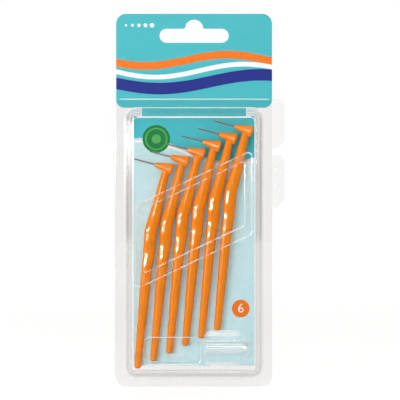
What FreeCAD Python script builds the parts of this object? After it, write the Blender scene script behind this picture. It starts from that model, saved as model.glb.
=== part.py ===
"""Hang pack of angled interdental brushes: a clear hinged clamshell, a hang card, six brushes and a cap.

Millimetres and degrees. X runs to the right, Y from the front of the pack to its back, Z up.
The origin is where the peg sits: the centre of the crown of the card's hang slot, on the card's back.
"""

import FreeCAD, Part
import math
import os
from FreeCAD import Vector

# Sheet, board and the play between pieces
SHEET = 0.45
BOARD = 0.45
LID_GAP = 0.15
NEST_PLAY = 0.35
CARD_PLAY = 0.4
SEAT_PLAY = 0.1
HOLD_PLAY = 0.45

# Hang card
SLOT_LENGTH = 32.0
SLOT_HEIGHT = 6.5
CROWN_RADIUS = 4.2
CROWN_FILLET = 0.8
HEADER_ABOVE = 6.9
HEADER_HEIGHT = 43.5
HEADER_TOP_ROUND = 4.6
HEADER_LOW_ROUND = 3.7
NOTCH_DEPTH = 3.85
INSERT_HEIGHT = 115.5

# Brush handle. The neck stands square to the wire, and the tail bends back from the neck.
HEAD_FRONT = 5.65
HEAD_BACK = 2.85
HEAD_TIP_RADIUS = 0.95
HEAD_BACK_RADIUS = 2.85
HEAD_DROOP = 2.5
HEAD_ROUND = 0.8
NECK_LENGTH = 29.8
TAIL_LENGTH = 64.3
TAIL_BEND = 9.6
NECK_TOP_WIDTH = 3.3
NECK_TOP_THICK = 2.7
NECK_LOW_WIDTH = 4.25
NECK_LOW_THICK = 3.6
GRIP_WIDTH = 5.0
GRIP_THICK = 4.2
WAIST_WIDTH = 4.6
WAIST_THICK = 3.6
TAIL_WIDTH = 4.75
TAIL_THICK = 4.2
TAIL_END_WIDTH = 2.75
TAIL_END_THICK = 2.65
TAIL_END_ROUND = 1.1
SWELL_LENGTH = 7.4
GRIP_AFTER_BEND = 5.0
WAIST_AFTER_BEND = 10.5
TAIL_AFTER_BEND = 17.5
SECTION_STEP = 1.8

# Wire and bristles
WIRE_DIAMETER = 0.6
WIRE_FREE = 10.0
WIRE_ANCHOR = 4.2
WIRE_HOLE_PLAY = 0.02
BRISTLE_DIAMETER = 1.9
BRISTLE_LENGTH = 9.2
BRISTLE_END = 0.3
BRISTLE_TAPER = 0.25

# Row of brushes in the pack
BRUSH_COUNT = 6
PITCH_X = 7.36
PITCH_Z = 3.5
BRUSH_LEAN = 15.0
SIDE_PLAY = 0.65
TOP_PLAY = 1.8
END_PLAY = 0.7

# Clamshell
FLANGE = 4.2
FLANGE_LOW_ROUND = 4.4
FLANGE_TOP_ROUND = 2.6
LID_DEPTH = 11.5
WALL_RUN = 3.2
TOP_RUN = 4.4
DOME_BASE_ROUND = 5.0
DOME_FACE_ROUND = 3.2
FACE_EDGE = 1.5
CREASE = 0.8
ROOT_ROUND = 0.6
RING_WIDTH = 3.0
RING_HEIGHT = 3.6
RING_INNER_RUN = 0.5
RING_INNER_ROUND = 1.0
RING_EDGE = 0.35

# Sunk band that holds the grips, sunk panel and raised cap pocket in the lid's face
BAND_WIDTH = 26.9
BAND_UPPER_RUN = 2.6
BAND_LOWER_RUN = 4.7
BAND_END_RUN = 2.7
BAND_END_LAND = 5.2
BAND_CORNER = 1.5
BAND_BELOW_BEND = 3.9
PANEL_LEFT_LAND = 6.9
PANEL_LOW_LAND = 4.7
PANEL_TO_POCKET = 3.4
PANEL_HEIGHT = 10.4
PANEL_DEPTH = 3.0
PANEL_RUN = 0.8
PANEL_ROUND = 1.6
POCKET_HEIGHT = 15.6
POCKET_ROUND = 2.6
POCKET_STEP = 1.0
POCKET_CREST = 2.4
NOSE_LENGTH = 4.6
NOSE_HEIGHT = 7.4
NOSE_ROUND = 2.0
NOSE_STEP = 0.9
NOSE_LAND = 0.4
BEAD_RADIUS = 1.3
BEAD_LENGTH = 10.0
BEAD_BULGE = 0.6
BEAD_BELOW = 5.0
BEAD_SHARE = 0.36

# Opening tabs on the right edge
TAB_REACH = 5.7
TAB_CHAMFER = 3.6
BACK_TAB_LENGTH = 23.0
FRONT_TAB_LENGTH = 24.0
TAB_GAP = 3.2
TAB_ROOT = 2.0
TAB_RIBS = 8
TAB_RIB_RADIUS = 0.3
TAB_RIB_LAND = 0.9

# Protective cap
CAP_LENGTH = 20.2
CAP_BORE = 6.1
CAP_WALL = 0.5
CAP_RIM = 0.35
CAP_RIM_LENGTH = 1.6
CAP_END_PLAY = 2.9
CAP_DROP = 7.6

# Shares that keep a rounding just inside the size it rounds
FULL_ROUND = 0.999
WIRE_TIP_SHARE = 0.4
BEAD_END_SHARE = 0.9

# How near an edge lies to the place where it is looked for
NEAR = 0.05
LEVEL = 1e-4

# Where the sheets and the card lie in depth
LID_BACK = -BOARD - LID_GAP
LID_FRONT = LID_BACK - SHEET
FACE_Y = LID_FRONT - LID_DEPTH
CARD_FRONT = -BOARD


def leaned(x, z):
    """A point of a brush's own plane, turned by the lean that the brush has in the pack."""
    lean = math.radians(BRUSH_LEAN)
    return (
        x * math.cos(lean) + z * math.sin(lean),
        z * math.cos(lean) - x * math.sin(lean),
    )


def along_tail(distance):
    """A point of the tail's axis, that far below the bend, in the brush's own plane."""
    bend = math.radians(TAIL_BEND)
    return distance * math.sin(bend), -NECK_LENGTH - distance * math.cos(bend)


# Reach of one brush round its head, once it leans
tail_end_radius = TAIL_END_WIDTH / 2
wire_tip_x, wire_tip_z = leaned(-HEAD_FRONT - WIRE_FREE, 0)
tail_end_x, tail_end_z = leaned(*along_tail(TAIL_LENGTH))
head_corner_x, head_corner_z = leaned(HEAD_BACK, HEAD_BACK_RADIUS)
reach_left = -min(wire_tip_x, tail_end_x - tail_end_radius)
reach_up = wire_tip_z + BRISTLE_DIAMETER / 2
reach_down = -tail_end_z
row_width = (BRUSH_COUNT - 1) * PITCH_X + reach_left + head_corner_x

# Heights down the pack, from the header to the flange's lower edge
header_top = HEADER_ABOVE
header_bottom = header_top - HEADER_HEIGHT
ring_top = header_bottom - CARD_PLAY
ring_inner_top = ring_top - RING_WIDTH
insert_top = ring_inner_top - CARD_PLAY
last_head_z = ring_inner_top - TOP_PLAY - reach_up
first_head_z = last_head_z - (BRUSH_COUNT - 1) * PITCH_Z
ring_inner_bottom = first_head_z - reach_down - END_PLAY
ring_bottom = ring_inner_bottom - RING_WIDTH

# Half widths across the pack, from the row of brushes out to the flange's edge
ring_inner_half = row_width / 2 + SIDE_PLAY
ring_half = ring_inner_half + RING_WIDTH
insert_half = ring_inner_half - CARD_PLAY
neck_half = insert_half - NOTCH_DEPTH
first_head_x = reach_left - row_width / 2

# The dome's outline where its walls meet the flange, worked out from the ring that nests in it
ring_share = LID_FRONT / LID_DEPTH
nest = SHEET + NEST_PLAY
base_half = ring_half + ring_share * WALL_RUN + nest
base_top = ring_top + ring_share * TOP_RUN + nest
base_bottom = ring_bottom - ring_share * WALL_RUN - nest
pack_half = base_half + FLANGE
shell_top = base_top + FLANGE
shell_bottom = base_bottom - FLANGE
face_half = base_half - WALL_RUN
face_bottom = base_bottom + WALL_RUN

# The heads lie on the card, and each brush tips about its wire until its tail's end lies there too
head_y = CARD_FRONT - SEAT_PLAY - HEAD_BACK_RADIUS
brush_tip = math.degrees(math.asin((HEAD_BACK_RADIUS - TAIL_END_THICK / 2) / (NECK_LENGTH + TAIL_LENGTH)))
grip_front = head_y + NECK_LENGTH * math.sin(math.radians(brush_tip)) - GRIP_THICK / 2
band_floor = grip_front - HOLD_PLAY - SHEET

# The cap lies below the last brush's tail, against the right wall
cap_radius = CAP_BORE / 2 + CAP_WALL
cap_right = ring_inner_half - CAP_END_PLAY
cap_left = cap_right - CAP_LENGTH
cap_z = last_head_z - reach_down - CAP_DROP
cap_y = CARD_FRONT - SEAT_PLAY - cap_radius - CAP_RIM
pocket_left = cap_left
pocket_right = cap_right + NOSE_LAND - NOSE_LENGTH


def head_place(index):
    """Where the head of one brush lies, counted from the left."""
    return Vector(first_head_x + index * PITCH_X, head_y, first_head_z + index * PITCH_Z)


def rounded_rect(left, right, bottom, top, low_round, top_round, y):
    """A closed outline across the pack at depth y."""
    corners = (
        (right - top_round, top - top_round, top_round, 0),
        (left + top_round, top - top_round, top_round, 90),
        (left + low_round, bottom + low_round, low_round, 180),
        (right - low_round, bottom + low_round, low_round, 270),
    )
    arcs = []
    for x, z, radius, start in corners:
        turns = [math.radians(start + step) for step in (0, 45, 90)]
        arcs.append([Vector(x + radius * math.cos(t), y, z + radius * math.sin(t)) for t in turns])
    edges = []
    for arc, following in zip(arcs, arcs[1:] + arcs[:1]):
        edges.append(Part.Arc(*arc).toShape())
        edges.append(Part.makeLine(arc[2], following[0]))
    return Part.Wire(edges)


def polygon(points, y):
    """A closed outline of straight edges through (x, z) points at depth y."""
    places = [Vector(x, y, z) for x, z in points]
    return Part.makePolygon(places + places[:1])


def plate(outline, thickness):
    """A flat piece with this outline, as thick as given towards the back."""
    return Part.Face(outline).extrude(Vector(0, thickness, 0))


def frustum(near, far):
    """A solid with flat ends between two outlines of as many edges."""
    return Part.makeLoft([near, far], True, True)


def edges_at(solid, y):
    """The edges of a solid that lie in the plane across the pack at depth y."""
    return [e for e in solid.Edges if max(abs(e.BoundBox.YMin - y), abs(e.BoundBox.YMax - y)) < LEVEL]


def hang_card():
    """Header with the hang slot, the neck between the shell's corner posts and the insert."""
    header = rounded_rect(
        -pack_half, pack_half, header_bottom, header_top, HEADER_LOW_ROUND, HEADER_TOP_ROUND, CARD_FRONT
    )
    insert_bottom = insert_top - INSERT_HEIGHT
    tongue = (
        (-neck_half, header_bottom + HEADER_LOW_ROUND),
        (-neck_half, insert_top),
        (-insert_half, insert_top),
        (-insert_half, insert_bottom),
        (insert_half, insert_bottom),
        (insert_half, insert_top),
        (neck_half, insert_top),
        (neck_half, header_bottom + HEADER_LOW_ROUND),
    )
    board = plate(header, BOARD).fuse(plate(polygon(tongue, CARD_FRONT), BOARD)).removeSplitter()
    return board.cut(slot_punch())


def slot_punch():
    """The hang slot: a long slot with round ends, and a crown that centres it on a peg."""
    end_round = SLOT_HEIGHT / 2 * FULL_ROUND
    half = SLOT_LENGTH / 2
    depth = 3 * BOARD
    front = CARD_FRONT - BOARD
    slot = rounded_rect(-half, half, -SLOT_HEIGHT, 0, end_round, end_round, front)
    crown = Part.makeCylinder(CROWN_RADIUS, depth, Vector(0, front, 0), Vector(0, 1, 0))
    punch = plate(slot, depth).fuse(crown).removeSplitter()
    feet = []
    for edge in punch.Edges:
        place = edge.CenterOfMass
        if edge.BoundBox.YLength > BOARD and math.hypot(abs(place.x) - CROWN_RADIUS, place.z) < NEAR:
            feet.append(edge)
    return punch.makeFillet(CROWN_FILLET, feet)


def handle_section(x, z, turn, width, thick):
    """An oval across the handle at a point of its axis, turned with the axis."""
    oval = Part.Ellipse(Vector(width / 2, 0, 0), Vector(0, thick / 2, 0), Vector(0, 0, 0))
    wire = Part.Wire([oval.toShape()])
    wire.rotate(Vector(0, 0, 0), Vector(0, 1, 0), turn)
    wire.translate(Vector(x, 0, z))
    return wire


def blend(start, end, share):
    """The width and thickness that share of the way from one section to another, eased at both ends."""
    eased = (1 - math.cos(math.pi * share)) / 2
    return [first + (last - first) * eased for first, last in zip(start, end)]


def neck_size(down):
    """Width and thickness of the handle, that far below the wire."""
    top = (NECK_TOP_WIDTH, NECK_TOP_THICK)
    low = (NECK_LOW_WIDTH, NECK_LOW_THICK)
    swell = NECK_LENGTH - SWELL_LENGTH
    if down < swell:
        return [first + (last - first) * down / swell for first, last in zip(top, low)]
    return blend(low, (GRIP_WIDTH, GRIP_THICK), (down - swell) / SWELL_LENGTH)


def grip_size(down):
    """Width and thickness of the handle, that far below the bend: the grip, and the waist under it."""
    grip = (GRIP_WIDTH, GRIP_THICK)
    waist = (WAIST_WIDTH, WAIST_THICK)
    if down < GRIP_AFTER_BEND:
        return grip
    if down < WAIST_AFTER_BEND:
        return blend(grip, waist, (down - GRIP_AFTER_BEND) / (WAIST_AFTER_BEND - GRIP_AFTER_BEND))
    tail = (TAIL_WIDTH, TAIL_THICK)
    return blend(waist, tail, (down - WAIST_AFTER_BEND) / (TAIL_AFTER_BEND - WAIST_AFTER_BEND))


def steps_over(length):
    """Even distances along a stretch of the handle, about one section step apart, without its end."""
    count = round(length / SECTION_STEP)
    return [length * step / count for step in range(count)]


def brush_handle():
    """Cone-shaped head round the wire, with the neck, grip and tail as one lofted bar."""
    droop = math.radians(HEAD_DROOP)
    cone_axis = Vector(math.cos(droop), 0, -math.sin(droop))
    head = Part.makeCone(
        HEAD_TIP_RADIUS, HEAD_BACK_RADIUS, HEAD_FRONT + HEAD_BACK, Vector(-HEAD_FRONT, 0, 0), cone_axis
    )
    rim_length = 2 * math.pi * HEAD_BACK_RADIUS
    rims = [e for e in head.Edges if abs(e.Length - rim_length) < NEAR and len(e.Vertexes) == 1]
    head = head.makeFillet(HEAD_ROUND, rims)
    upper = [handle_section(0, -down, 0, *neck_size(down)) for down in steps_over(NECK_LENGTH)]
    upper.append(handle_section(*along_tail(0), -TAIL_BEND / 2, GRIP_WIDTH, GRIP_THICK))
    for down in steps_over(TAIL_AFTER_BEND)[1:] + [TAIL_AFTER_BEND]:
        upper.append(handle_section(*along_tail(down), -TAIL_BEND, *grip_size(down)))
    tail_end = handle_section(*along_tail(TAIL_LENGTH), -TAIL_BEND, TAIL_END_WIDTH, TAIL_END_THICK)
    bar = Part.makeLoft(upper, True)
    tail = Part.makeLoft([upper[-1], tail_end], True, True)
    end_x, end_z = along_tail(TAIL_LENGTH)
    ends = [e for e in tail.Edges if (e.CenterOfMass - Vector(end_x, 0, end_z)).Length < NEAR]
    tail = tail.makeFillet(TAIL_END_ROUND, ends)
    hole = Part.makeCylinder(
        WIRE_DIAMETER / 2 + WIRE_HOLE_PLAY,
        WIRE_ANCHOR + HEAD_FRONT,
        Vector(-2 * HEAD_FRONT, 0, 0),
        Vector(1, 0, 0),
    )
    return bar.fuse([tail, head]).removeSplitter().cut(hole)


def brush_wire():
    """Twisted pair as its round envelope, with a rounded tip."""
    length = WIRE_ANCHOR + WIRE_FREE
    anchor = Vector(WIRE_ANCHOR - HEAD_FRONT, 0, 0)
    wire = Part.makeCylinder(WIRE_DIAMETER / 2, length, anchor, Vector(-1, 0, 0))
    tip = [e for e in wire.Edges if abs(e.CenterOfMass.x + HEAD_FRONT + WIRE_FREE) < LEVEL]
    return wire.makeFillet(WIRE_DIAMETER * WIRE_TIP_SHARE, tip)


def brush_bristles():
    """The filaments' round envelope, a little slimmer at its tip, with the wire's bore through it."""
    bore = WIRE_DIAMETER / 2 + WIRE_HOLE_PLAY
    tip_x = -HEAD_FRONT - WIRE_FREE + BRISTLE_END
    root_x = tip_x + BRISTLE_LENGTH
    root_radius = BRISTLE_DIAMETER / 2
    outline = (
        (root_x, bore),
        (root_x, root_radius),
        (tip_x, root_radius - BRISTLE_TAPER),
        (tip_x, bore),
    )
    return Part.Face(polygon(outline, 0)).revolve(Vector(0, 0, 0), Vector(1, 0, 0), 360)


def in_pack(piece, index):
    """One brush piece, tipped onto the card, leaned and set in its place in the row."""
    placed = piece.copy()
    placed.rotate(Vector(0, 0, 0), Vector(1, 0, 0), brush_tip)
    placed.rotate(Vector(0, 0, 0), Vector(0, 1, 0), BRUSH_LEAN)
    placed.translate(head_place(index))
    return placed


def dome_outline(y, inset):
    """The clamshell dome's outline at depth y, that far inside its outer surface."""
    share = (LID_FRONT - y) / LID_DEPTH
    half = base_half - share * WALL_RUN - inset
    top = base_top - share * TOP_RUN - inset
    bottom = base_bottom + share * WALL_RUN + inset
    corner = DOME_BASE_ROUND + share * (DOME_FACE_ROUND - DOME_BASE_ROUND) - inset
    return rounded_rect(-half, half, bottom, top, corner, corner, y)


def band_outline(y, grow):
    """The sunk band's slanted outline at depth y: its long sides run along the row of brushes."""
    slant = math.atan2(PITCH_Z, PITCH_X)
    share = (band_floor - y) / (band_floor - FACE_Y)
    above = (BAND_WIDTH / 2 + grow + share * BAND_UPPER_RUN) / math.cos(slant)
    below = (BAND_WIDTH / 2 + grow + share * BAND_LOWER_RUN) / math.cos(slant)
    half = face_half - BAND_END_LAND + grow + share * BAND_END_RUN
    bend_x, bend_z = leaned(*along_tail(BAND_BELOW_BEND))
    middle = head_place(0) + Vector(bend_x, 0, bend_z)
    left_z = middle.z + (-half - middle.x) * math.tan(slant)
    right_z = middle.z + (half - middle.x) * math.tan(slant)
    corners = (
        (-half, left_z - below),
        (half, right_z - below),
        (half, right_z + above),
        (-half, left_z + above),
    )
    return polygon(corners, y)


def sunk_band(grow):
    """What is pressed into the lid's face over the grips, grown by the sheet for the inner surface."""
    floor = band_floor + grow
    block = frustum(band_outline(FACE_Y - SHEET, grow), band_outline(floor, grow))
    corners = [e for e in block.Edges if e.BoundBox.YLength > LID_DEPTH / 4]
    block = block.makeFillet(BAND_CORNER + grow, corners)
    return block.makeFillet(CREASE + grow, edges_at(block, floor))


def sunk_panel(grow):
    """The flat sunk panel at the lower left of the lid's face."""
    left = -face_half + PANEL_LEFT_LAND
    right = pocket_left - PANEL_TO_POCKET
    bottom = face_bottom + PANEL_LOW_LAND
    outlines = []
    for y, spread in ((FACE_Y - SHEET, PANEL_RUN), (FACE_Y + PANEL_DEPTH + grow, 0)):
        margin = grow + spread
        corner = PANEL_ROUND + margin
        outlines.append(
            rounded_rect(
                left - margin,
                right + margin,
                bottom - margin,
                bottom + PANEL_HEIGHT + margin,
                corner,
                corner,
                y,
            )
        )
    return frustum(*outlines)


def cap_pocket(inset):
    """The raised, vaulted pocket over the cap, inset by the sheet for the inner surface."""
    half_height = POCKET_HEIGHT / 2 - inset
    corner = POCKET_ROUND - inset
    outline = rounded_rect(
        pocket_left + inset,
        pocket_right - inset,
        cap_z - half_height,
        cap_z + half_height,
        corner,
        corner,
        FACE_Y + LID_DEPTH / 2,
    )
    crest = POCKET_CREST - POCKET_STEP
    vault_radius = (crest**2 + (POCKET_HEIGHT / 2) ** 2) / (2 * crest)
    prism = Part.Face(outline).extrude(Vector(0, -LID_DEPTH, 0))
    vault = Part.makeCylinder(
        vault_radius - inset,
        2 * CAP_LENGTH,
        Vector(cap_left - CAP_LENGTH / 2, FACE_Y - POCKET_CREST + vault_radius, cap_z),
        Vector(1, 0, 0),
    )
    return prism.common(vault)


def pocket_nose(inset):
    """The low step beside the pocket that clears the cap's closed end."""
    half_height = NOSE_HEIGHT / 2 - inset
    corner = NOSE_ROUND - inset
    outline = rounded_rect(
        (pocket_left + pocket_right) / 2,
        cap_right + NOSE_LAND - inset,
        cap_z - half_height,
        cap_z + half_height,
        corner,
        corner,
        FACE_Y - NOSE_STEP + inset,
    )
    return plate(outline, LID_DEPTH / 2)


def wall_bead(inset):
    """The long round-ended bead in the right wall, near the top."""
    radius = BEAD_RADIUS - inset
    length = BEAD_LENGTH - 2 * inset
    middle = Vector(
        base_half - BEAD_SHARE * WALL_RUN - BEAD_RADIUS + BEAD_BULGE,
        LID_FRONT - BEAD_SHARE * LID_DEPTH,
        base_top - BEAD_BELOW - BEAD_LENGTH / 2,
    )
    bead = Part.makeCylinder(radius, length, middle - Vector(0, 0, length / 2), Vector(0, 0, 1))
    ends = [e for e in bead.Edges if e.BoundBox.ZLength < length / 2]
    return bead.makeFillet(radius * BEAD_END_SHARE, ends)


def dome(inset):
    """The lid's dome as a full block: its outer form, or its hollow when inset by the sheet."""
    root_y = LID_BACK if inset else LID_FRONT
    face = FACE_Y + inset
    block = frustum(dome_outline(root_y, inset), dome_outline(face, inset))
    block = block.makeFillet(FACE_EDGE - inset, edges_at(block, face))
    border = max(e.BoundBox.XMax for e in edges_at(block, face)) - CREASE
    raised = [cap_pocket(inset), pocket_nose(inset), wall_bead(inset)]
    block = block.cut([sunk_band(inset), sunk_panel(inset)]).fuse(raised).removeSplitter()
    lowest = face_bottom + FACE_EDGE + inset + CREASE / 2
    highest = base_top - TOP_RUN - FACE_EDGE - CREASE
    creases = []
    for edge in edges_at(block, face):
        place = edge.CenterOfMass
        if abs(place.x) < border and lowest < place.z < highest:
            creases.append(edge)
    return block.makeFillet(CREASE - inset, creases)


def flange(y, tab):
    """The flat rim round a shell, with its opening tab."""
    rim = rounded_rect(
        -pack_half, pack_half, shell_bottom, shell_top, FLANGE_LOW_ROUND, FLANGE_TOP_ROUND, y
    )
    return plate(rim, SHEET).fuse(plate(polygon(tab, y), SHEET)).removeSplitter()


def tab_outline(top, length):
    """An opening tab's outline, from inside the flange to its cut corners."""
    root = pack_half - TAB_ROOT
    end = pack_half + TAB_REACH
    bottom = top - length
    return (
        (root, top),
        (end - TAB_CHAMFER / 2, top),
        (end, top - TAB_CHAMFER / 2),
        (end, bottom + TAB_CHAMFER),
        (end - TAB_CHAMFER, bottom),
        (root, bottom),
    )


def tab_ribs(top):
    """Slanted grip ribs on the front tab."""
    left = pack_half + TAB_RIB_LAND
    span = TAB_REACH - 2 * TAB_RIB_LAND
    step = (FRONT_TAB_LENGTH - TAB_CHAMFER - span - 2 * TAB_RIB_LAND) / (TAB_RIBS - 1)
    ribs = []
    for index in range(TAB_RIBS):
        low = top - TAB_RIB_LAND - TAB_CHAMFER / 2 - span - index * step
        start = Vector(left, LID_FRONT, low)
        ribs.append(Part.makeCylinder(TAB_RIB_RADIUS, span * math.sqrt(2), start, Vector(1, 0, 1)))
    corner = Vector(pack_half - TAB_REACH / 2, LID_FRONT + SHEET / 2, low)
    backing = Part.makeBox(2 * TAB_REACH, SHEET, FRONT_TAB_LENGTH * 2, corner)
    return [rib.cut(backing) for rib in ribs]


def front_shell():
    """The lid: flange, dome with its pressed features, and the ribbed tab."""
    tab_top = shell_top - BACK_TAB_LENGTH - TAB_GAP
    rim = flange(LID_FRONT, tab_outline(tab_top, FRONT_TAB_LENGTH))
    outside = rim.fuse(dome(0)).removeSplitter()
    outside = outside.makeFillet(ROOT_ROUND, root_edges(outside, LID_FRONT))
    sheet = outside.cut(dome(SHEET))
    sheet = sheet.makeFillet(ROOT_ROUND + SHEET, root_edges(sheet, LID_BACK))
    return sheet.fuse(tab_ribs(tab_top)).removeSplitter()


def root_edges(shell, y):
    """The edges where the dome rises from the flange, at the depth of one of the flange's faces."""
    edges = []
    margin = FLANGE / 2
    for edge in edges_at(shell, y):
        place = edge.CenterOfMass
        if abs(place.x) < base_half + margin and base_bottom - margin < place.z < base_top + margin:
            edges.append(edge)
    return edges


def plug_ring(inset):
    """The raised ring that the lid's dome presses over, open at the top for the card's neck."""
    root_y = SHEET if inset else 0
    crest_y = -RING_HEIGHT + inset
    outer = frustum(dome_outline(root_y, nest + inset), dome_outline(crest_y, nest + inset))
    inner = []
    for y in (root_y, crest_y):
        shrink = inset - RING_INNER_RUN * y / RING_HEIGHT
        corner = RING_INNER_ROUND + inset
        inner.append(
            rounded_rect(
                -ring_inner_half - shrink,
                ring_inner_half + shrink,
                ring_inner_bottom - shrink,
                ring_inner_top + shrink,
                corner,
                corner,
                y,
            )
        )
    gap_half = neck_half + CARD_PLAY + inset
    corner = Vector(-gap_half, -2 * RING_HEIGHT, ring_inner_top - RING_WIDTH)
    gap = Part.makeBox(2 * gap_half, 3 * RING_HEIGHT, 3 * RING_WIDTH, corner)
    ring = outer.cut(frustum(*inner)).cut(gap)
    if inset:
        return ring
    return ring.makeFillet(RING_EDGE, edges_at(ring, crest_y))


def back_shell():
    """The back: a flat sheet with the plug ring formed out of it, and the plain tab."""
    rim = flange(0, tab_outline(shell_top, BACK_TAB_LENGTH))
    return rim.fuse(plug_ring(0)).cut(plug_ring(SHEET)).removeSplitter()


def fold_hinge():
    """The folded strip of sheet along the left edge, round the axis on which the lid swings."""
    axis_y = LID_BACK / 2
    bottom = shell_bottom + FLANGE_LOW_ROUND
    height = shell_top - FLANGE_TOP_ROUND - bottom
    foot = Vector(-pack_half, axis_y, bottom)
    up = Vector(0, 0, 1)
    outer = Part.makeCylinder(-axis_y + SHEET, height, foot, up)
    inner = Part.makeCylinder(-axis_y, height, foot, up)
    right_half = Part.makeBox(
        FLANGE, 4 * FLANGE, height, Vector(-pack_half, axis_y - 2 * FLANGE, bottom)
    )
    return outer.cut(inner).cut(right_half)


def protective_cap():
    """A clear tube with a rim at its mouth and a closed, rounded end."""
    bore = CAP_BORE / 2
    rim = cap_radius + CAP_RIM
    round_start = CAP_LENGTH - cap_radius
    turn = math.radians(45)
    outer_arc = Part.Arc(
        Vector(round_start, 0, cap_radius),
        Vector(round_start + cap_radius * math.cos(turn), 0, cap_radius * math.sin(turn)),
        Vector(CAP_LENGTH, 0, 0),
    ).toShape()
    inner_arc = Part.Arc(
        Vector(round_start + bore, 0, 0),
        Vector(round_start + bore * math.cos(turn), 0, bore * math.sin(turn)),
        Vector(round_start, 0, bore),
    ).toShape()
    mouth = [
        Vector(round_start, 0, bore),
        Vector(0, 0, bore),
        Vector(0, 0, rim),
        Vector(CAP_RIM_LENGTH, 0, rim),
        Vector(CAP_RIM_LENGTH + CAP_RIM, 0, cap_radius),
        Vector(round_start, 0, cap_radius),
    ]
    floor = Part.makeLine(Vector(CAP_LENGTH, 0, 0), Vector(round_start + bore, 0, 0))
    outline = Part.Wire(Part.makePolygon(mouth).Edges + [outer_arc, floor, inner_arc])
    cap = Part.Face(outline).revolve(Vector(0, 0, 0), Vector(1, 0, 0), 360)
    cap.translate(Vector(cap_left, cap_y, cap_z))
    return cap


def build():
    """Every node of the pack by name."""
    nodes = {
        "hang_card": hang_card(),
        "back_shell": back_shell(),
        "front_shell": front_shell(),
        "fold_hinge": fold_hinge(),
        "protective_cap": protective_cap(),
    }
    pieces = {"handle": brush_handle(), "wire": brush_wire(), "bristles": brush_bristles()}
    for index in range(BRUSH_COUNT):
        for name, piece in pieces.items():
            nodes[f"brush_{index + 1}_{name}"] = in_pack(piece, index)
    return nodes


os.makedirs("parts", exist_ok=True)
for node, shape in build().items():
    shape.exportStep(f"parts/{node}.step")
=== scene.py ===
"""Studio scene of a hang pack: clear clamshell, printed card, six interdental brushes and a cap.

Metres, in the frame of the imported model: X to the right, Y from front to back, Z up, and the
origin in the hang slot.
"""

import math
import random

import bpy
from mathutils import Matrix, Vector


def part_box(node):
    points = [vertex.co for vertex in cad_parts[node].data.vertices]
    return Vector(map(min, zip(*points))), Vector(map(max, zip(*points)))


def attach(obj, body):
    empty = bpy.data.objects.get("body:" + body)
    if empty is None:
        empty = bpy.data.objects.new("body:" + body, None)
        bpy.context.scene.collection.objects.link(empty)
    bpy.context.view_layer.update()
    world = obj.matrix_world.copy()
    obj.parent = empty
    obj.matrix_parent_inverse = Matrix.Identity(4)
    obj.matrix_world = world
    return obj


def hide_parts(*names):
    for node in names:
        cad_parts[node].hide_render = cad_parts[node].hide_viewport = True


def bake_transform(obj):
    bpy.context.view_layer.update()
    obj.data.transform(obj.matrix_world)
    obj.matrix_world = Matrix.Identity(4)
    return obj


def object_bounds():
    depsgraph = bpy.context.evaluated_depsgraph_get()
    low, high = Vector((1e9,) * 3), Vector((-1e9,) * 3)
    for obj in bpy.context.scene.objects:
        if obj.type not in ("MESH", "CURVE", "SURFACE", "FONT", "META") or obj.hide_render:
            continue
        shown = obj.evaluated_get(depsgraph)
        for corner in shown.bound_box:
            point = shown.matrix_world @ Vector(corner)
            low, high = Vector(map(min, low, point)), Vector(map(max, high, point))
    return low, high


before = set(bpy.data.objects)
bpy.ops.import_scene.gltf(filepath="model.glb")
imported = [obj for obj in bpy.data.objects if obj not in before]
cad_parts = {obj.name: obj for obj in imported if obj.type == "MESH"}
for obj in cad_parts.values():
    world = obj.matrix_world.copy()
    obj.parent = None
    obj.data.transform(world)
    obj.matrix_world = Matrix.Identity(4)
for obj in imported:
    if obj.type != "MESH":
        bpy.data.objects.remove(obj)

MM = 0.001
CAD_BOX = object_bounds()
WHITE = (1, 1, 1, 1)
BLACK = (0, 0, 0, 1)


def srgb(red, green, blue):
    """A display colour, 0 to 255, as the linear colour that shaders take."""
    linear = []
    for value in (red, green, blue):
        share = value / 255
        linear.append(share / 12.92 if share <= 0.04045 else ((share + 0.055) / 1.055) ** 2.4)
    return (*linear, 1.0)


# The photograph's framing: the card is seen square on
IMAGE_PIXELS = 400
PIXELS_PER_MM = 2.16
PEG_PIXEL = (194.1, 28.8)
CAMERA_DISTANCE = 0.9
SENSOR_MM = 36.0

# Soft lights: place from the pack's middle height, width, height, watts, and if only for sheen
LIGHTS = {
    "top_box": ((0.0, -0.42, 0.55), 0.3, 0.2, 0.55, False),
    "front_strip": ((0.0, -0.98, 0.19), 0.5, 0.05, 1.3, False),
    "key_strip": ((-0.665, -0.749, 0.052), 0.6, 0.045, 4.0, False),
    "glint_box": ((-0.66, -0.745, 0.06), 0.8, 0.04, 19.0, True),
    "sheen_box": ((0.0, -0.95, 0.33), 0.7, 0.3, 1.4, True),
}

# The world's light on matt surfaces and in glossy ones, by the direction's share of Y
FILL_DIRECTIONS = (0.0, 0.5)
FILL_LEVELS = (0.53, 0.95)
MIRRORED_DIRECTIONS = (-0.95, -0.3)
MIRRORED_LEVELS = (0.03, 0.5)
CLEAR_LAYERS = 32

# The floor: its lift to white by the distance, and its dimming in glossy surfaces by Y
FLOOR_REACH = 3.0
FLOOR_GAP = 0.05 * MM
FLOOR_TONES = (srgb(203, 203, 202), srgb(208, 208, 207))
LIFT_DISTANCES = (0.1, 1.3)
LIFT_LEVELS = (0.53, 0.6)
DIMMED_FRONT = (-0.4, 0.0)
DIMMED_SHARE = 0.12

# Ranges of noise that spread over a whole tone or gloss
SPECKLE_NOISE = (0.3, 0.7)
GLOSS_NOISE = (0.2, 0.8)
GRAIN_DEPTH = 0.02 * MM

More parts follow.
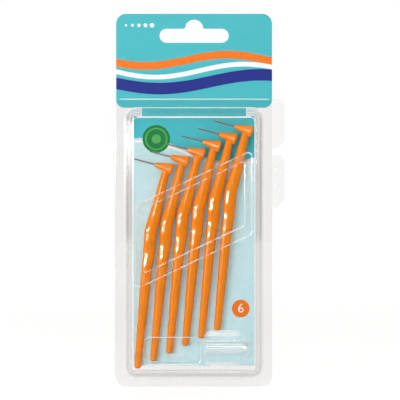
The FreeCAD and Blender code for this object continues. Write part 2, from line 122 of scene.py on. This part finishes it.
# The card: inks, board and the heights where the insert's teal, painted lighter to offset the lid's
# shade, gives way to the header's
TEAL = srgb(72, 186, 195)
INSERT_TEAL_PAINTED_LIGHTER = srgb(68, 194, 206)
BOARD_WHITE = srgb(236, 236, 230)
INKS = {
    "pale_blue": srgb(203, 237, 243),
    "white": srgb(250, 251, 250),
    "navy": srgb(28, 42, 138),
    "orange": srgb(246, 122, 16),
    "green": srgb(12, 132, 62),
    "light_green": srgb(88, 176, 92),
    "mist": srgb(212, 240, 244),
}
HEADER_STARTS = (-50 * MM, -40 * MM)
FRONT_FACING = -0.5
MOTTLE_SHARE = 0.25
FIBRE_SCALE = 5200.0
FIBRE_STRENGTH = 0.12
SMOOTHEST_BOARD = 0.36

# The other materials' tones
HANDLE_ORANGE = srgb(252, 141, 4)
STEEL_TONES = (srgb(84, 78, 79), srgb(124, 118, 118))
NYLON_TONES = (srgb(214, 226, 228), srgb(244, 248, 248))
NYLON_COVER = 0.4
# Tones of the sheet's haze and of its painted highlight lines
HAZE_AND_HIGHLIGHT_TONES = (srgb(246, 247, 245), srgb(253, 253, 251))
SHEET_TINT = (0.968, 0.964, 0.961, 1.0)
SHEET_EDGE_TINT = (0.73, 0.722, 0.716, 1.0)
CAP_TINT = (0.985, 0.988, 0.988, 1.0)
CAP_EDGE_TINT = (0.86, 0.87, 0.87, 1.0)

# Clear plastic: its mirror and haze, by how far it is seen along the sheet
GRAZING_POWER = 5.0
GRAZING_MIRROR = 0.6
SEEN_ALONG = (0.6, 1.0)
LEAST_HAZE = 0.002
RIPPLE_SCALE = 130.0
RIPPLE_DEPTH = 0.6 * MM
CLEAR_ROUGHNESS = 0.07
LIGHT_LET_THROUGH = 0.8

# The lid's creases, with painted highlight lines that are partly stress whitening: the slopes that
# count as a bend, and how level a bend runs
BEND_STARTS = (0.7, 0.82)
BEND_ENDS = (0.93, 0.975)
CREASE_DEPTHS = (-11.5 * MM, -9.5 * MM)
DEEP_CREASE = 0.55
LEVEL_RUNS = (0.1, 0.5)
UPRIGHT_CREASE = 0.2
SLANT_STARTS = (0.4, 0.6)
SLANT_ENDS = (0.75, 0.9)
GAP_SCALE = 330.0
GAP_NOISE = (0.42, 0.56)
GAP_LOSS = 0.8
CREASE_MIRROR = 0.06
# A painted highlight line along the sheet's cut top edge: its band below the top, and its strength
RIM_BELOW_TOP = (0.5 * MM, 0.3 * MM)
RIM_PAINTED_HIGHLIGHT = 0.5

# Brush details that only the scene has
BRUSH_COUNT = 6
BRUSH_LEAN = math.radians(15)
STRAND_RADIUS = 0.15 * MM
STRAND_SIDES = 6
TWIST_PITCH = 1.15 * MM
STEPS_PER_TWIST = 12
FILAMENTS = 130
FILAMENT_RADIUS = 0.028 * MM
FILAMENT_SIDES = 3
FILAMENT_SPAN = 0.98
TURNS_PER_TWIST = 0.5
TURN_STRAY = 0.35
TIP_TAPER = 0.2
FILAMENT_REACH = (0.82, 0.97)
FILAMENT_LEAN = 0.1

# The handle's bend, and the wire's middle from the neck's axis
NECK_LENGTH = 29.8 * MM
TAIL_BEND = math.radians(9.6)
BEND_EASE = 5.0 * MM
WIRE_MIDDLE = 8.55 * MM

# Along the handle from the wire: the CAD handle's width, and how many times broader the real one is
HANDLE_STATIONS = (
    (0.0 * MM, 3.3 * MM, 1.0),
    (22.4 * MM, 4.25 * MM, 1.23),
    (29.8 * MM, 5.0 * MM, 1.14),
    (34.8 * MM, 5.0 * MM, 1.14),
    (40.3 * MM, 4.6 * MM, 1.2),
    (47.3 * MM, 4.75 * MM, 1.06),
    (94.1 * MM, 2.75 * MM, 1.11),
)

FOLD_STEPS = 20

# Printed layers stand one ink film apart on the card's front. The print is in millimetres
INK_FILM = 0.02 * MM
RIBBON_STEPS = 60
DISC_SIDES = 64
INSERT_INSET = 8.1

# Waves: middle height, swing, stretch and shift
SHORE = (-56.0, -5.5, 13.0, 0.3)
SHORE_LINE_DROP = 1.6
SHORE_LINE_WIDTH = 1.2

# The header's bands: wave, width, layer and ink
BANDS = {
    "print_swell": ((-24.5, 3.2, 15.0, -0.5), 5.4, 1, "navy"),
    "print_crest": ((-19.4, 3.0, 13.0, -0.2), 2.2, 2, "white"),
    "print_stream": ((-14.6, 2.6, 12.0, 0.3), 3.6, 1, "orange"),
}

DOT_COUNT = 5
FIRST_DOT = (-31.5, 1.6)
DOT_PITCH = 3.0
DOT_RADIUS = 0.55
DOT_GROWTH = 0.12
SEAL = (-17.5, -51.0)
SEAL_RADIUS = 6.4
SEAL_RING = (5.2, 4.5)
SEAL_HEART = 2.1
BADGE = (21.6, -129.5)
BADGE_RADIUS = 4.1
COUNT_HEIGHT = 4.2
FONT_SIZE_PER_HEIGHT = 1.4

# Bubbles: x, z and radius
BUBBLES = ((-19, -126, 5.5), (21, -96, 3.2), (-8, -149, 3.6), (12, -128, 2.4))


def new_material(name):
    """An empty node material and its tree."""
    material = bpy.data.materials.new(name)
    material.use_nodes = True
    material.node_tree.nodes.clear()
    return material, material.node_tree


def add(tree, kind, settings=None, **inputs):
    """Adds a node. Inputs are values or other nodes' sockets, named with _ for spaces."""
    made = tree.nodes.new(kind)
    for key, value in (settings or {}).items():
        setattr(made, key, value)
    for key, value in inputs.items():
        feed(tree, made.inputs[key.replace("_", " ")], value)
    return made


def feed(tree, socket, value):
    """Links a socket to another, or sets its value."""
    if isinstance(value, bpy.types.NodeSocket):
        tree.links.new(value, socket)
    else:
        socket.default_value = value


def math_node(tree, operation, *values):
    """A Math node's result."""
    made = tree.nodes.new("ShaderNodeMath")
    made.operation = operation
    for socket, value in zip(made.inputs, values):
        feed(tree, socket, value)
    return made.outputs[0]


def mix_colour(tree, factor, first, second):
    """A colour between two, by factor."""
    made = tree.nodes.new("ShaderNodeMix")
    made.data_type = "RGBA"
    feed(tree, made.inputs[0], factor)
    feed(tree, made.inputs[6], first)
    feed(tree, made.inputs[7], second)
    return made.outputs[2]


def mix_shader(tree, factor, first, second):
    """A shader between two, by factor."""
    made = tree.nodes.new("ShaderNodeMixShader")
    for socket, value in zip(made.inputs, (factor, first.outputs[0], second.outputs[0])):
        feed(tree, socket, value)
    return made


def ramp(tree, value, low, high, to_low=0.0, to_high=1.0):
    """A value carried smoothly from one range to another."""
    made = add(
        tree,
        "ShaderNodeMapRange",
        {"interpolation_type": "SMOOTHSTEP"},
        Value=value,
        From_Min=low,
        From_Max=high,
        To_Min=to_low,
        To_Max=to_high,
    )
    return made.outputs[0]


def window(tree, value, starts, ends):
    """1 between the two ranges and 0 outside them."""
    rise = ramp(tree, value, *starts)
    fall = ramp(tree, value, *ends, 1.0, 0.0)
    return math_node(tree, "MULTIPLY", rise, fall)


def axes(tree, kind):
    """The X, Y and Z of one kind of coordinates."""
    vector = add(tree, "ShaderNodeTexCoord").outputs[kind]
    return add(tree, "ShaderNodeSeparateXYZ", Vector=vector).outputs


def rays(tree, *kinds):
    """1 for rays of any of the kinds, and 0 for others."""
    path = add(tree, "ShaderNodeLightPath").outputs
    found = path[f"Is {kinds[0]} Ray"]
    for kind in kinds[1:]:
        found = math_node(tree, "MAXIMUM", found, path[f"Is {kind} Ray"])
    return found


def noise(tree, scale, detail=3.0):
    """Noise over the object's own coordinates, in metres."""
    place = add(tree, "ShaderNodeTexCoord").outputs["Object"]
    return add(tree, "ShaderNodeTexNoise", Vector=place, Scale=scale, Detail=detail).outputs["Fac"]


def speckle(tree, scale):
    """Soft spots from 0 to 1."""
    return ramp(tree, noise(tree, scale), *SPECKLE_NOISE)


def bump(tree, height, strength, depth):
    """A bumped normal from a height."""
    made = add(tree, "ShaderNodeBump", Height=height, Strength=strength, Distance=depth)
    return made.outputs["Normal"]


def output(tree, shader):
    """Ends a surface material."""
    add(tree, "ShaderNodeOutputMaterial", Surface=shader.outputs[0])


def darker(colour, share):
    """A colour scaled towards black."""
    return tuple(part * share for part in colour[:3]) + (1.0,)


def varnished(tree, tone, fibre, roughest):
    """The card's varnished surface, with the board's fibre in its gloss."""
    return add(
        tree,
        "ShaderNodeBsdfPrincipled",
        Base_Color=tone,
        Roughness=ramp(tree, fibre, *GLOSS_NOISE, SMOOTHEST_BOARD, roughest),
        Normal=bump(tree, fibre, FIBRE_STRENGTH, GRAIN_DEPTH),
        Specular_IOR_Level=0.08,
        Coat_Weight=0.06,
        Coat_Roughness=0.2,
    )


def ink_material(name, colour):
    """Offset ink under the card's varnish, with a little mottle."""
    material, tree = new_material(name)
    tone = mix_colour(tree, speckle(tree, scale=420.0), darker(colour, 0.95), colour)
    fibre = noise(tree, FIBRE_SCALE, detail=2.0)
    output(tree, varnished(tree, tone, fibre, roughest=0.48))
    return material


def card_material():
    """The board: teal on its front, painted lighter on the insert to offset the lid's shade, and
    bare coated board elsewhere.
    """
    material, tree = new_material("card_board")
    front = math_node(tree, "LESS_THAN", axes(tree, "Normal")["Y"], FRONT_FACING)
    header = ramp(tree, axes(tree, "Object")["Z"], *HEADER_STARTS)
    mottle = math_node(tree, "MULTIPLY", speckle(tree, scale=380.0), MOTTLE_SHARE)
    # The insert's teal is painted lighter than the header's to offset the shade of the lid over it
    ground = mix_colour(tree, header, INSERT_TEAL_PAINTED_LIGHTER, TEAL)
    ground = mix_colour(tree, mottle, ground, darker(TEAL, 0.94))
    fibre = noise(tree, FIBRE_SCALE, detail=2.0)
    board = mix_colour(tree, fibre, darker(BOARD_WHITE, 0.9), BOARD_WHITE)
    tone = mix_colour(tree, front, board, ground)
    output(tree, varnished(tree, tone, fibre, roughest=0.5))
    return material


def crease_mask(tree):
    """Painted highlight lines on the lid's bends, partly stress whitening: faint where they run
    upright, broken where they slant, weaker deep down.
    """
    sideways, slope, upright = (math_node(tree, "ABSOLUTE", part) for part in axes(tree, "Normal"))
    bend = window(tree, slope, BEND_STARTS, BEND_ENDS)
    shallow = ramp(tree, axes(tree, "Object")["Y"], *CREASE_DEPTHS, 1.0, DEEP_CREASE)
    # The small number keeps flat faces, which have neither part, from a division by zero
    across = math_node(tree, "ADD", sideways, math_node(tree, "ADD", upright, 0.001))
    level = math_node(tree, "DIVIDE", upright, across)
    gaps = ramp(tree, noise(tree, GAP_SCALE, detail=2.0), *GAP_NOISE, 1.0, 0.0)
    lost = math_node(tree, "MULTIPLY", gaps, window(tree, level, SLANT_STARTS, SLANT_ENDS))
    whole = ramp(tree, level, *LEVEL_RUNS, UPRIGHT_CREASE, 1.0)
    broken = math_node(tree, "MULTIPLY_ADD", lost, -GAP_LOSS, whole)
    return math_node(tree, "MULTIPLY", bend, math_node(tree, "MULTIPLY", shallow, broken))


def clear_material(name, tint, edge_tint, haze_edge, shine, waviness, crease_highlight=0.0, cut_edge=None):
    """Clear thin plastic: glossy and greyer along the sheet, with painted highlight lines in its
    bends (partly stress whitening) and along its cut edge.
    """
    material, tree = new_material(name)
    facing = add(tree, "ShaderNodeLayerWeight", Blend=0.5).outputs["Facing"]
    grazing = math_node(tree, "POWER", facing, GRAZING_POWER)
    mirror = math_node(tree, "MULTIPLY_ADD", grazing, GRAZING_MIRROR, shine)
    along = ramp(tree, facing, *SEEN_ALONG)
    haze_and_painted_highlight = math_node(tree, "MULTIPLY_ADD", along, haze_edge, LEAST_HAZE)
    # Bends get painted highlight lines in the white haze, partly stress whitening, and a little
    # more gloss
    if crease_highlight:
        bend = crease_mask(tree)
        haze_and_painted_highlight = math_node(tree, "MAXIMUM", haze_and_painted_highlight, math_node(tree, "MULTIPLY", bend, crease_highlight))
        mirror = math_node(tree, "MULTIPLY_ADD", bend, CREASE_MIRROR, mirror)
    # A painted highlight line along the sheet's cut top edge
    if cut_edge:
        rim_heights = (cut_edge - below for below in RIM_BELOW_TOP)
        rim = ramp(tree, axes(tree, "Object")["Z"], *rim_heights)
        haze_and_painted_highlight = math_node(tree, "MAXIMUM", haze_and_painted_highlight, math_node(tree, "MULTIPLY", rim, RIM_PAINTED_HIGHLIGHT))
    ripple = bump(tree, noise(tree, RIPPLE_SCALE, detail=2.0), waviness, RIPPLE_DEPTH)
    tone = mix_colour(tree, along, tint, edge_tint)
    clear = add(tree, "ShaderNodeBsdfTransparent", Color=tone)
    # One white shader gives both the sheet's haze and its painted highlight lines
    haze_and_highlight_tone = mix_colour(tree, noise(tree, 900.0), *HAZE_AND_HIGHLIGHT_TONES)
    haze_and_highlight = add(tree, "ShaderNodeBsdfPrincipled", Base_Color=haze_and_highlight_tone, Roughness=0.45)
    gloss = add(
        tree, "ShaderNodeBsdfGlossy", Color=WHITE, Roughness=CLEAR_ROUGHNESS, Normal=ripple
    )
    body = mix_shader(tree, haze_and_painted_highlight, clear, haze_and_highlight)
    surface = mix_shader(tree, mirror, body, gloss)
    open_air = add(tree, "ShaderNodeBsdfTransparent", Color=WHITE)
    passing = math_node(tree, "MULTIPLY", rays(tree, "Shadow", "Diffuse"), LIGHT_LET_THROUGH)
    output(tree, mix_shader(tree, passing, surface, open_air))
    return material


def handle_material():
    """Satin orange polypropylene with faint flow marks and a fine moulded grain."""
    material, tree = new_material("handle_plastic")
    flow = speckle(tree, scale=160.0)
    grain = noise(tree, 4200.0, detail=2.0)
    surface = add(
        tree,
        "ShaderNodeBsdfPrincipled",
        Base_Color=mix_colour(tree, flow, darker(HANDLE_ORANGE, 0.94), HANDLE_ORANGE),
        Roughness=ramp(tree, grain, *GLOSS_NOISE, 0.11, 0.16),
        Normal=bump(tree, grain, 0.04, GRAIN_DEPTH),
        Specular_IOR_Level=0.25,
        Subsurface_Weight=0.12,
        Subsurface_Radius=(1.0, 0.35, 0.1),
        Subsurface_Scale=1.2 * MM,
    )
    output(tree, surface)
    return material


def wire_material():
    """Drawn stainless wire with fine scratches."""
    material, tree = new_material("wire_steel")
    scratch = noise(tree, 3000.0, detail=4.0)
    surface = add(
        tree,
        "ShaderNodeBsdfPrincipled",
        Base_Color=mix_colour(tree, scratch, *STEEL_TONES),
        Metallic=1.0,
        Roughness=ramp(tree, scratch, *GLOSS_NOISE, 0.28, 0.45),
    )
    output(tree, surface)
    return material


def bristle_material():
    """Pale nylon filament, partly see-through."""
    material, tree = new_material("bristle_nylon")
    tone = mix_colour(tree, noise(tree, 2500.0), *NYLON_TONES)
    nylon = add(tree, "ShaderNodeBsdfPrincipled", Base_Color=tone, Roughness=0.4)
    clear = add(tree, "ShaderNodeBsdfTransparent")
    output(tree, mix_shader(tree, NYLON_COVER, clear, nylon))
    return material


def floor_material():
    """Matt floor that reads as white, keeps the shadow and is dim in front for glossy surfaces."""
    material, tree = new_material("floor_paper")
    unmirrored = math_node(tree, "SUBTRACT", 1.0, rays(tree, "Glossy"))
    dimmed = ramp(tree, axes(tree, "Object")["Y"], *DIMMED_FRONT, DIMMED_SHARE, 1.0)
    kept = math_node(tree, "MAXIMUM", unmirrored, dimmed)
    tone = mix_colour(tree, noise(tree, 30.0), *FLOOR_TONES)
    paper = add(tree, "ShaderNodeBsdfDiffuse", Color=mix_colour(tree, kept, BLACK, tone))
    seen = math_node(tree, "MULTIPLY", rays(tree, "Camera", "Transmission", "Glossy"), kept)
    place = add(tree, "ShaderNodeTexCoord").outputs["Object"]
    away = add(tree, "ShaderNodeVectorMath", {"operation": "LENGTH"}, Vector=place).outputs["Value"]
    lift = ramp(tree, away, *LIFT_DISTANCES, *LIFT_LEVELS)
    strength = math_node(tree, "MULTIPLY", seen, lift)
    glow = add(tree, "ShaderNodeEmission", Color=WHITE, Strength=strength)
    surface = add(tree, "ShaderNodeAddShader")
    for socket, shader in zip(surface.inputs, (paper, glow)):
        feed(tree, socket, shader.outputs[0])
    output(tree, surface)
    return material


def new_object(name, data):
    """An object in the scene."""
    made = bpy.data.objects.new(name, data)
    bpy.context.scene.collection.objects.link(made)
    return made


def wear(made, material):
    """Gives an object its one material."""
    made.data.materials.clear()
    made.data.materials.append(material)


def mesh_object(name, vertices, faces, material, smooth=False):
    """A mesh object from vertices and faces."""
    mesh = bpy.data.meshes.new(name)
    mesh.from_pydata(vertices, [], faces)
    mesh.update()
    if smooth:
        mesh.polygons.foreach_set("use_smooth", [True] * len(mesh.polygons))
    made = new_object(name, mesh)
    wear(made, material)
    return made


def tube(path, radius, sides, across):
    """Vertices and faces of a closed tube along a path. across is any vector not along the path."""
    vertices = []
    faces = []
    for index, point in enumerate(path):
        ahead = path[min(index + 1, len(path) - 1)] - path[max(index - 1, 0)]
        side = ahead.cross(across).normalized()
        up = side.cross(ahead).normalized()
        for step in range(sides):
            turn = 2 * math.pi * step / sides
            vertices.append(point + radius * (math.cos(turn) * side + math.sin(turn) * up))
    for ring in range(len(path) - 1):
        for step in range(sides):
            near = ring * sides
            far = near + sides
            following = (step + 1) % sides
            faces.append((near + step, near + following, far + following, far + step))
    last = (len(path) - 1) * sides
    faces.append(tuple(reversed(range(sides))))
    faces.append(tuple(last + step for step in range(sides)))
    return vertices, faces


def joined(parts):
    """Several lists of vertices and faces as one."""
    vertices = []
    faces = []
    for more_vertices, more_faces in parts:
        start = len(vertices)
        vertices += more_vertices
        faces += [tuple(start + corner for corner in face) for face in more_faces]
    return vertices, faces


def node_axis(node):
    """The middle of a wire's or sleeve's box, the direction to its tip, and its length."""
    low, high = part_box(node)
    direction = Vector((-math.cos(BRUSH_LEAN), 0, math.sin(BRUSH_LEAN)))
    return (low + high) / 2, direction, (high.x - low.x) / math.cos(BRUSH_LEAN)


def twisted_wire(index, material):
    """Two strands wound round each other, in place of the round bar."""
    node = f"brush_{index}_wire"
    middle, along, length = node_axis(node)
    length -= 2 * STRAND_RADIUS * math.tan(BRUSH_LEAN)
    across = Vector((0, 1, 0))
    up = along.cross(across)
    steps = int(length / TWIST_PITCH * STEPS_PER_TWIST)
    strands = []
    for strand in range(2):
        path = []
        for step in range(steps + 1):
            run = length * step / steps
            turn = 2 * math.pi * run / TWIST_PITCH + math.pi * strand
            offset = STRAND_RADIUS * (math.cos(turn) * across + math.sin(turn) * up)
            path.append(middle + along * (run - length / 2) + offset)
        strands.append(tube(path, STRAND_RADIUS, STRAND_SIDES, up))
    made = mesh_object(f"twisted_wire_{index}", *joined(strands), material, smooth=True)
    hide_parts(node)
    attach(made, "pack")


def filaments(index, material):
    """Filaments held in the twist, fanning round the wire as it turns."""
    node = f"brush_{index}_bristles"
    chance = random.Random(index)
    low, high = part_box(node)
    middle, along, length = node_axis(node)
    radius = (high.y - low.y) / 2
    length -= 2 * radius * math.tan(BRUSH_LEAN)
    across = Vector((0, 1, 0))
    up = along.cross(across)
    parts = []
    for step in range(FILAMENTS):
        share = (step + 0.5) / FILAMENTS
        centre = middle + along * length * (share - 0.5) * FILAMENT_SPAN
        turn = 2 * math.pi * length * share / TWIST_PITCH * TURNS_PER_TWIST
        turn += chance.uniform(-TURN_STRAY, TURN_STRAY)
        out = math.cos(turn) * across + math.sin(turn) * up
        reach = radius * (1 - TIP_TAPER * share) * chance.uniform(*FILAMENT_REACH)
        lean = along * chance.uniform(-FILAMENT_LEAN, FILAMENT_LEAN) * radius
        path = [centre - out * reach + lean, centre, centre + out * reach - lean]
        parts.append(tube(path, FILAMENT_RADIUS, FILAMENT_SIDES, along))
    made = mesh_object(f"filaments_{index}", *joined(parts), material)
    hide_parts(node)
    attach(made, "pack")


def eased(share):
    """A share from 0 to 1, with a smooth start and end."""
    share = min(max(share, 0.0), 1.0)
    return share * share * (3 - 2 * share)


def breadth(run):
    """The CAD handle's width that far along it, and how many times broader the real one is."""
    for near, far in zip(HANDLE_STATIONS, HANDLE_STATIONS[1:]):
        if run < far[0]:
            share = eased((run - near[0]) / (far[0] - near[0]))
            return [first + (last - first) * share for first, last in zip(near[1:], far[1:])]
    return HANDLE_STATIONS[-1][1:]


def broad_handle(index, material):
    """The CAD handle's form, broadened to the right from its left edge."""
    node = f"brush_{index}_handle"
    middle, along, _ = node_axis(f"brush_{index}_wire")
    hub = middle - along * WIRE_MIDDLE
    right = -along
    down = Vector((-math.sin(BRUSH_LEAN), 0, -math.cos(BRUSH_LEAN)))
    tail = right * math.sin(TAIL_BEND) + down * math.cos(TAIL_BEND)
    bend = hub + down * NECK_LENGTH
    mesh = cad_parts[node].data.copy()
    for vertex in mesh.vertices:
        from_bend = vertex.co - bend
        past = from_bend.dot((down + tail).normalized())
        turn = TAIL_BEND * eased(0.5 + past / BEND_EASE / 2)
        side = right * math.cos(turn) - down * math.sin(turn)
        run = NECK_LENGTH + from_bend.dot(tail if past > 0 else down)
        width, times = breadth(run)
        vertex.co += side * (from_bend.dot(side) + width / 2) * (times - 1)
    mesh.update()
    made = new_object(f"broad_handle_{index}", mesh)
    wear(made, material)
    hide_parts(node)
    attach(made, "pack")


def folding_strip(material):
    """The fold along the left edge: a half tube of sheet in place of the CAD hinge."""
    low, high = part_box("fold_hinge")
    outer = (high.y - low.y) / 2
    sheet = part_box("back_shell")[1].y
    axis = Vector((high.x, (low.y + high.y) / 2, 0))
    vertices = []
    for height in (low.z, high.z):
        for radius in (outer, outer - sheet):
            for step in range(FOLD_STEPS + 1):
                turn = math.radians(90) + math.pi * step / FOLD_STEPS
                offset = Vector((radius * math.cos(turn), radius * math.sin(turn), height))
                vertices.append(axis + offset)
    ring = FOLD_STEPS + 1
    faces = []
    for step in range(FOLD_STEPS):
        low_out, low_in, high_out, high_in = (step + ring * layer for layer in range(4))
        faces.append((low_out, high_out, high_out + 1, low_out + 1))
        faces.append((low_in, low_in + 1, high_in + 1, high_in))
        faces.append((low_out, low_out + 1, low_in + 1, low_in))
        faces.append((high_out, high_in, high_in + 1, high_out + 1))
    for end in (0, FOLD_STEPS):
        faces.append((end, end + ring, end + 3 * ring, end + 2 * ring))
    made = mesh_object("folding_strip", vertices, faces, material)
    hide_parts("fold_hinge")
    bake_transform(made)


def ink_plane(layer):
    """The Y of a printed layer."""
    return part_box("hang_card")[0].y - INK_FILM * layer


def ink(name, vertices, faces, layer, material):
    """A printed shape on the card's front, given as (x, z) points in millimetres."""
    front = ink_plane(layer)
    points = [Vector((x * MM, front, z * MM)) for x, z in vertices]
    made = mesh_object(name, points, faces, material)
    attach(made, "pack")


def wave(middle, swing, stretch, shift):
    """A wavy line, as a function of x."""
    return lambda x: middle + swing * math.sin(x / stretch + shift)


def ribbon(name, low, high, half_length, layer, material):
    """A printed shape across the card between two lines, which are functions of x."""
    vertices = []
    for step in range(RIBBON_STEPS + 1):
        x = half_length * (2 * step / RIBBON_STEPS - 1)
        vertices += [(x, low(x)), (x, high(x))]
    faces = []
    for start in range(0, 2 * RIBBON_STEPS, 2):
        faces.append((start, start + 2, start + 3, start + 1))
    ink(name, vertices, faces, layer, material)


def band(name, line, width, half_length, layer, material):
    """A printed band of even width along a line, which is a function of x."""

    def low(x):
        """The band's lower edge."""
        return line(x) - width / 2

    def high(x):
        """The band's upper edge."""
        return line(x) + width / 2

    ribbon(name, low, high, half_length, layer, material)


def disc(name, x, z, radius, layer, material, hole=0.0):
    """A printed disc, or a ring when it has a hole."""
    turns = [2 * math.pi * step / DISC_SIDES for step in range(DISC_SIDES)]
    rim = [(math.cos(turn), math.sin(turn)) for turn in turns]
    vertices = [(x + radius * a, z + radius * b) for a, b in rim]
    faces = [tuple(range(DISC_SIDES))]
    if hole:
        vertices += [(x + hole * a, z + hole * b) for a, b in rim]
        faces = []
        for step in range(DISC_SIDES):
            following = (step + 1) % DISC_SIDES
            faces.append((step, following, DISC_SIDES + following, DISC_SIDES + step))
    ink(name, vertices, faces, layer, material)


def number(name, text, x, z, height, layer, material):
    """A plain printed number."""
    curve = bpy.data.curves.new(name, "FONT")
    curve.body = text
    curve.align_x = "CENTER"
    curve.align_y = "CENTER"
    curve.size = height * MM * FONT_SIZE_PER_HEIGHT
    letters = new_object(name, curve)
    mesh = bpy.data.meshes.new_from_object(letters)
    bpy.data.objects.remove(letters)
    upright = Matrix.Rotation(math.radians(90), 4, "X")
    mesh.transform(Matrix.Translation((x * MM, ink_plane(layer), z * MM)) @ upright)
    made = new_object(name, mesh)
    wear(made, material)
    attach(made, "pack")


def card_print():
    """A generic print in the pack's colours: a pale field, bands, dots, a seal and a count."""
    low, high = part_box("hang_card")
    edge = high.x / MM
    insert = edge - INSERT_INSET
    bottom = low.z / MM
    inks = {name: ink_material(f"ink_{name}", colour) for name, colour in INKS.items()}
    shore = wave(*SHORE)
    below_shore = wave(SHORE[0] - SHORE_LINE_DROP, *SHORE[1:])
    ribbon("print_field", lambda x: bottom, shore, insert, 1, inks["pale_blue"])
    band("print_shore", below_shore, SHORE_LINE_WIDTH, insert, 2, inks["white"])
    for name, (shape, width, layer, colour) in BANDS.items():
        band(name, wave(*shape), width, edge, layer, inks[colour])
    for step in range(DOT_COUNT):
        x = FIRST_DOT[0] + DOT_PITCH * step
        radius = DOT_RADIUS + DOT_GROWTH * step
        disc(f"print_dot_{step + 1}", x, FIRST_DOT[1], radius, 1, inks["white"])
    disc("print_seal", *SEAL, SEAL_RADIUS, 3, inks["green"])
    disc("print_seal_ring", *SEAL, SEAL_RING[0], 4, inks["light_green"], hole=SEAL_RING[1])
    disc("print_seal_heart", *SEAL, SEAL_HEART, 4, inks["light_green"])
    for place, (x, z, radius) in enumerate(BUBBLES):
        disc(f"print_bubble_{place + 1}", x, z, radius, 2, inks["mist"])
    disc("print_count_badge", *BADGE, BADGE_RADIUS, 3, inks["orange"])
    number("print_count", str(BRUSH_COUNT), *BADGE, COUNT_HEIGHT, 4, inks["white"])


def dress_nodes():
    """Materials of the CAD pieces that stay, and the pieces that replace the rest."""
    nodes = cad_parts
    sheet = clear_material(
        "clear_sheet",
        SHEET_TINT,
        SHEET_EDGE_TINT,
        haze_edge=0.1,
        shine=0.009,
        waviness=0.004,
        # The strength of the painted highlight lines on the bends
        crease_highlight=0.85,
        # The cut top edge's height, where a painted highlight line runs
        cut_edge=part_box("front_shell")[1].z,
    )
    cap = clear_material(
        "clear_cap", CAP_TINT, CAP_EDGE_TINT, haze_edge=0.12, shine=0.13, waviness=0.03
    )
    handle = handle_material()
    wire = wire_material()
    nylon = bristle_material()
    wear(nodes["hang_card"], card_material())
    wear(nodes["front_shell"], sheet)
    wear(nodes["back_shell"], sheet)
    wear(nodes["protective_cap"], cap)
    folding_strip(sheet)
    for index in range(1, BRUSH_COUNT + 1):
        broad_handle(index, handle)
        twisted_wire(index, wire)
        filaments(index, nylon)


def soft_light(name, place, target, width, height, power, sheen_only):
    """A soft light aimed at a point. One for sheen alone shows in glossy surfaces only."""
    light = bpy.data.lights.new(name, "AREA")
    light.shape = "RECTANGLE"
    light.size = width
    light.size_y = height
    light.energy = power
    made = new_object(name, light)
    made.visible_diffuse = not sheen_only
    made.location = place
    made.rotation_euler = (target - Vector(place)).to_track_quat("-Z", "Y").to_euler()


def studio_world():
    """White surroundings to the camera, and softer light from them elsewhere."""
    world = bpy.data.worlds.new("studio")
    world.use_nodes = True
    tree = world.node_tree
    tree.nodes.clear()
    towards = axes(tree, "Generated")["Y"]
    fill = ramp(tree, towards, *FILL_DIRECTIONS, *FILL_LEVELS)
    ambient = add(tree, "ShaderNodeBackground", Color=WHITE, Strength=fill)
    mirrored = ramp(tree, towards, *MIRRORED_DIRECTIONS, *MIRRORED_LEVELS)
    level = math_node(tree, "MAXIMUM", rays(tree, "Camera"), mirrored)
    backdrop = add(tree, "ShaderNodeBackground", Color=WHITE, Strength=level)
    shown = rays(tree, "Camera", "Glossy", "Transmission")
    both = mix_shader(tree, shown, ambient, backdrop)
    add(tree, "ShaderNodeOutputWorld", Surface=both.outputs[0])
    return world


def photo_camera():
    """The photograph's camera."""
    lens = bpy.data.cameras.new("camera")
    lens.sensor_width = SENSOR_MM
    lens.lens = SENSOR_MM * CAMERA_DISTANCE / (IMAGE_PIXELS / PIXELS_PER_MM * MM)
    camera = new_object("camera", lens)
    camera.location = (
        (IMAGE_PIXELS / 2 - PEG_PIXEL[0]) / PIXELS_PER_MM * MM,
        -CAMERA_DISTANCE,
        (PEG_PIXEL[1] - IMAGE_PIXELS / 2) / PIXELS_PER_MM * MM,
    )
    camera.rotation_euler = (math.radians(90), 0, 0)
    return camera


def studio():
    """Floor, lights, surroundings and camera."""
    low, high = CAD_BOX
    middle = (low + high) / 2
    corners = [
        (-FLOOR_REACH, -FLOOR_REACH, 0),
        (FLOOR_REACH, -FLOOR_REACH, 0),
        (FLOOR_REACH, FLOOR_REACH, 0),
        (-FLOOR_REACH, FLOOR_REACH, 0),
    ]
    floor = mesh_object("floor", corners, [(0, 1, 2, 3)], floor_material())
    floor.location.z = low.z - FLOOR_GAP
    for name, ((x, y, z), width, height, power, sheen_only) in LIGHTS.items():
        soft_light(name, (x, y, middle.z + z), middle, width, height, power, sheen_only)
    scene = bpy.context.scene
    scene.world = studio_world()
    scene.camera = photo_camera()
    scene.view_settings.view_transform = "Standard"
    scene.cycles.transparent_max_bounces = CLEAR_LAYERS


dress_nodes()
card_print()
studio()
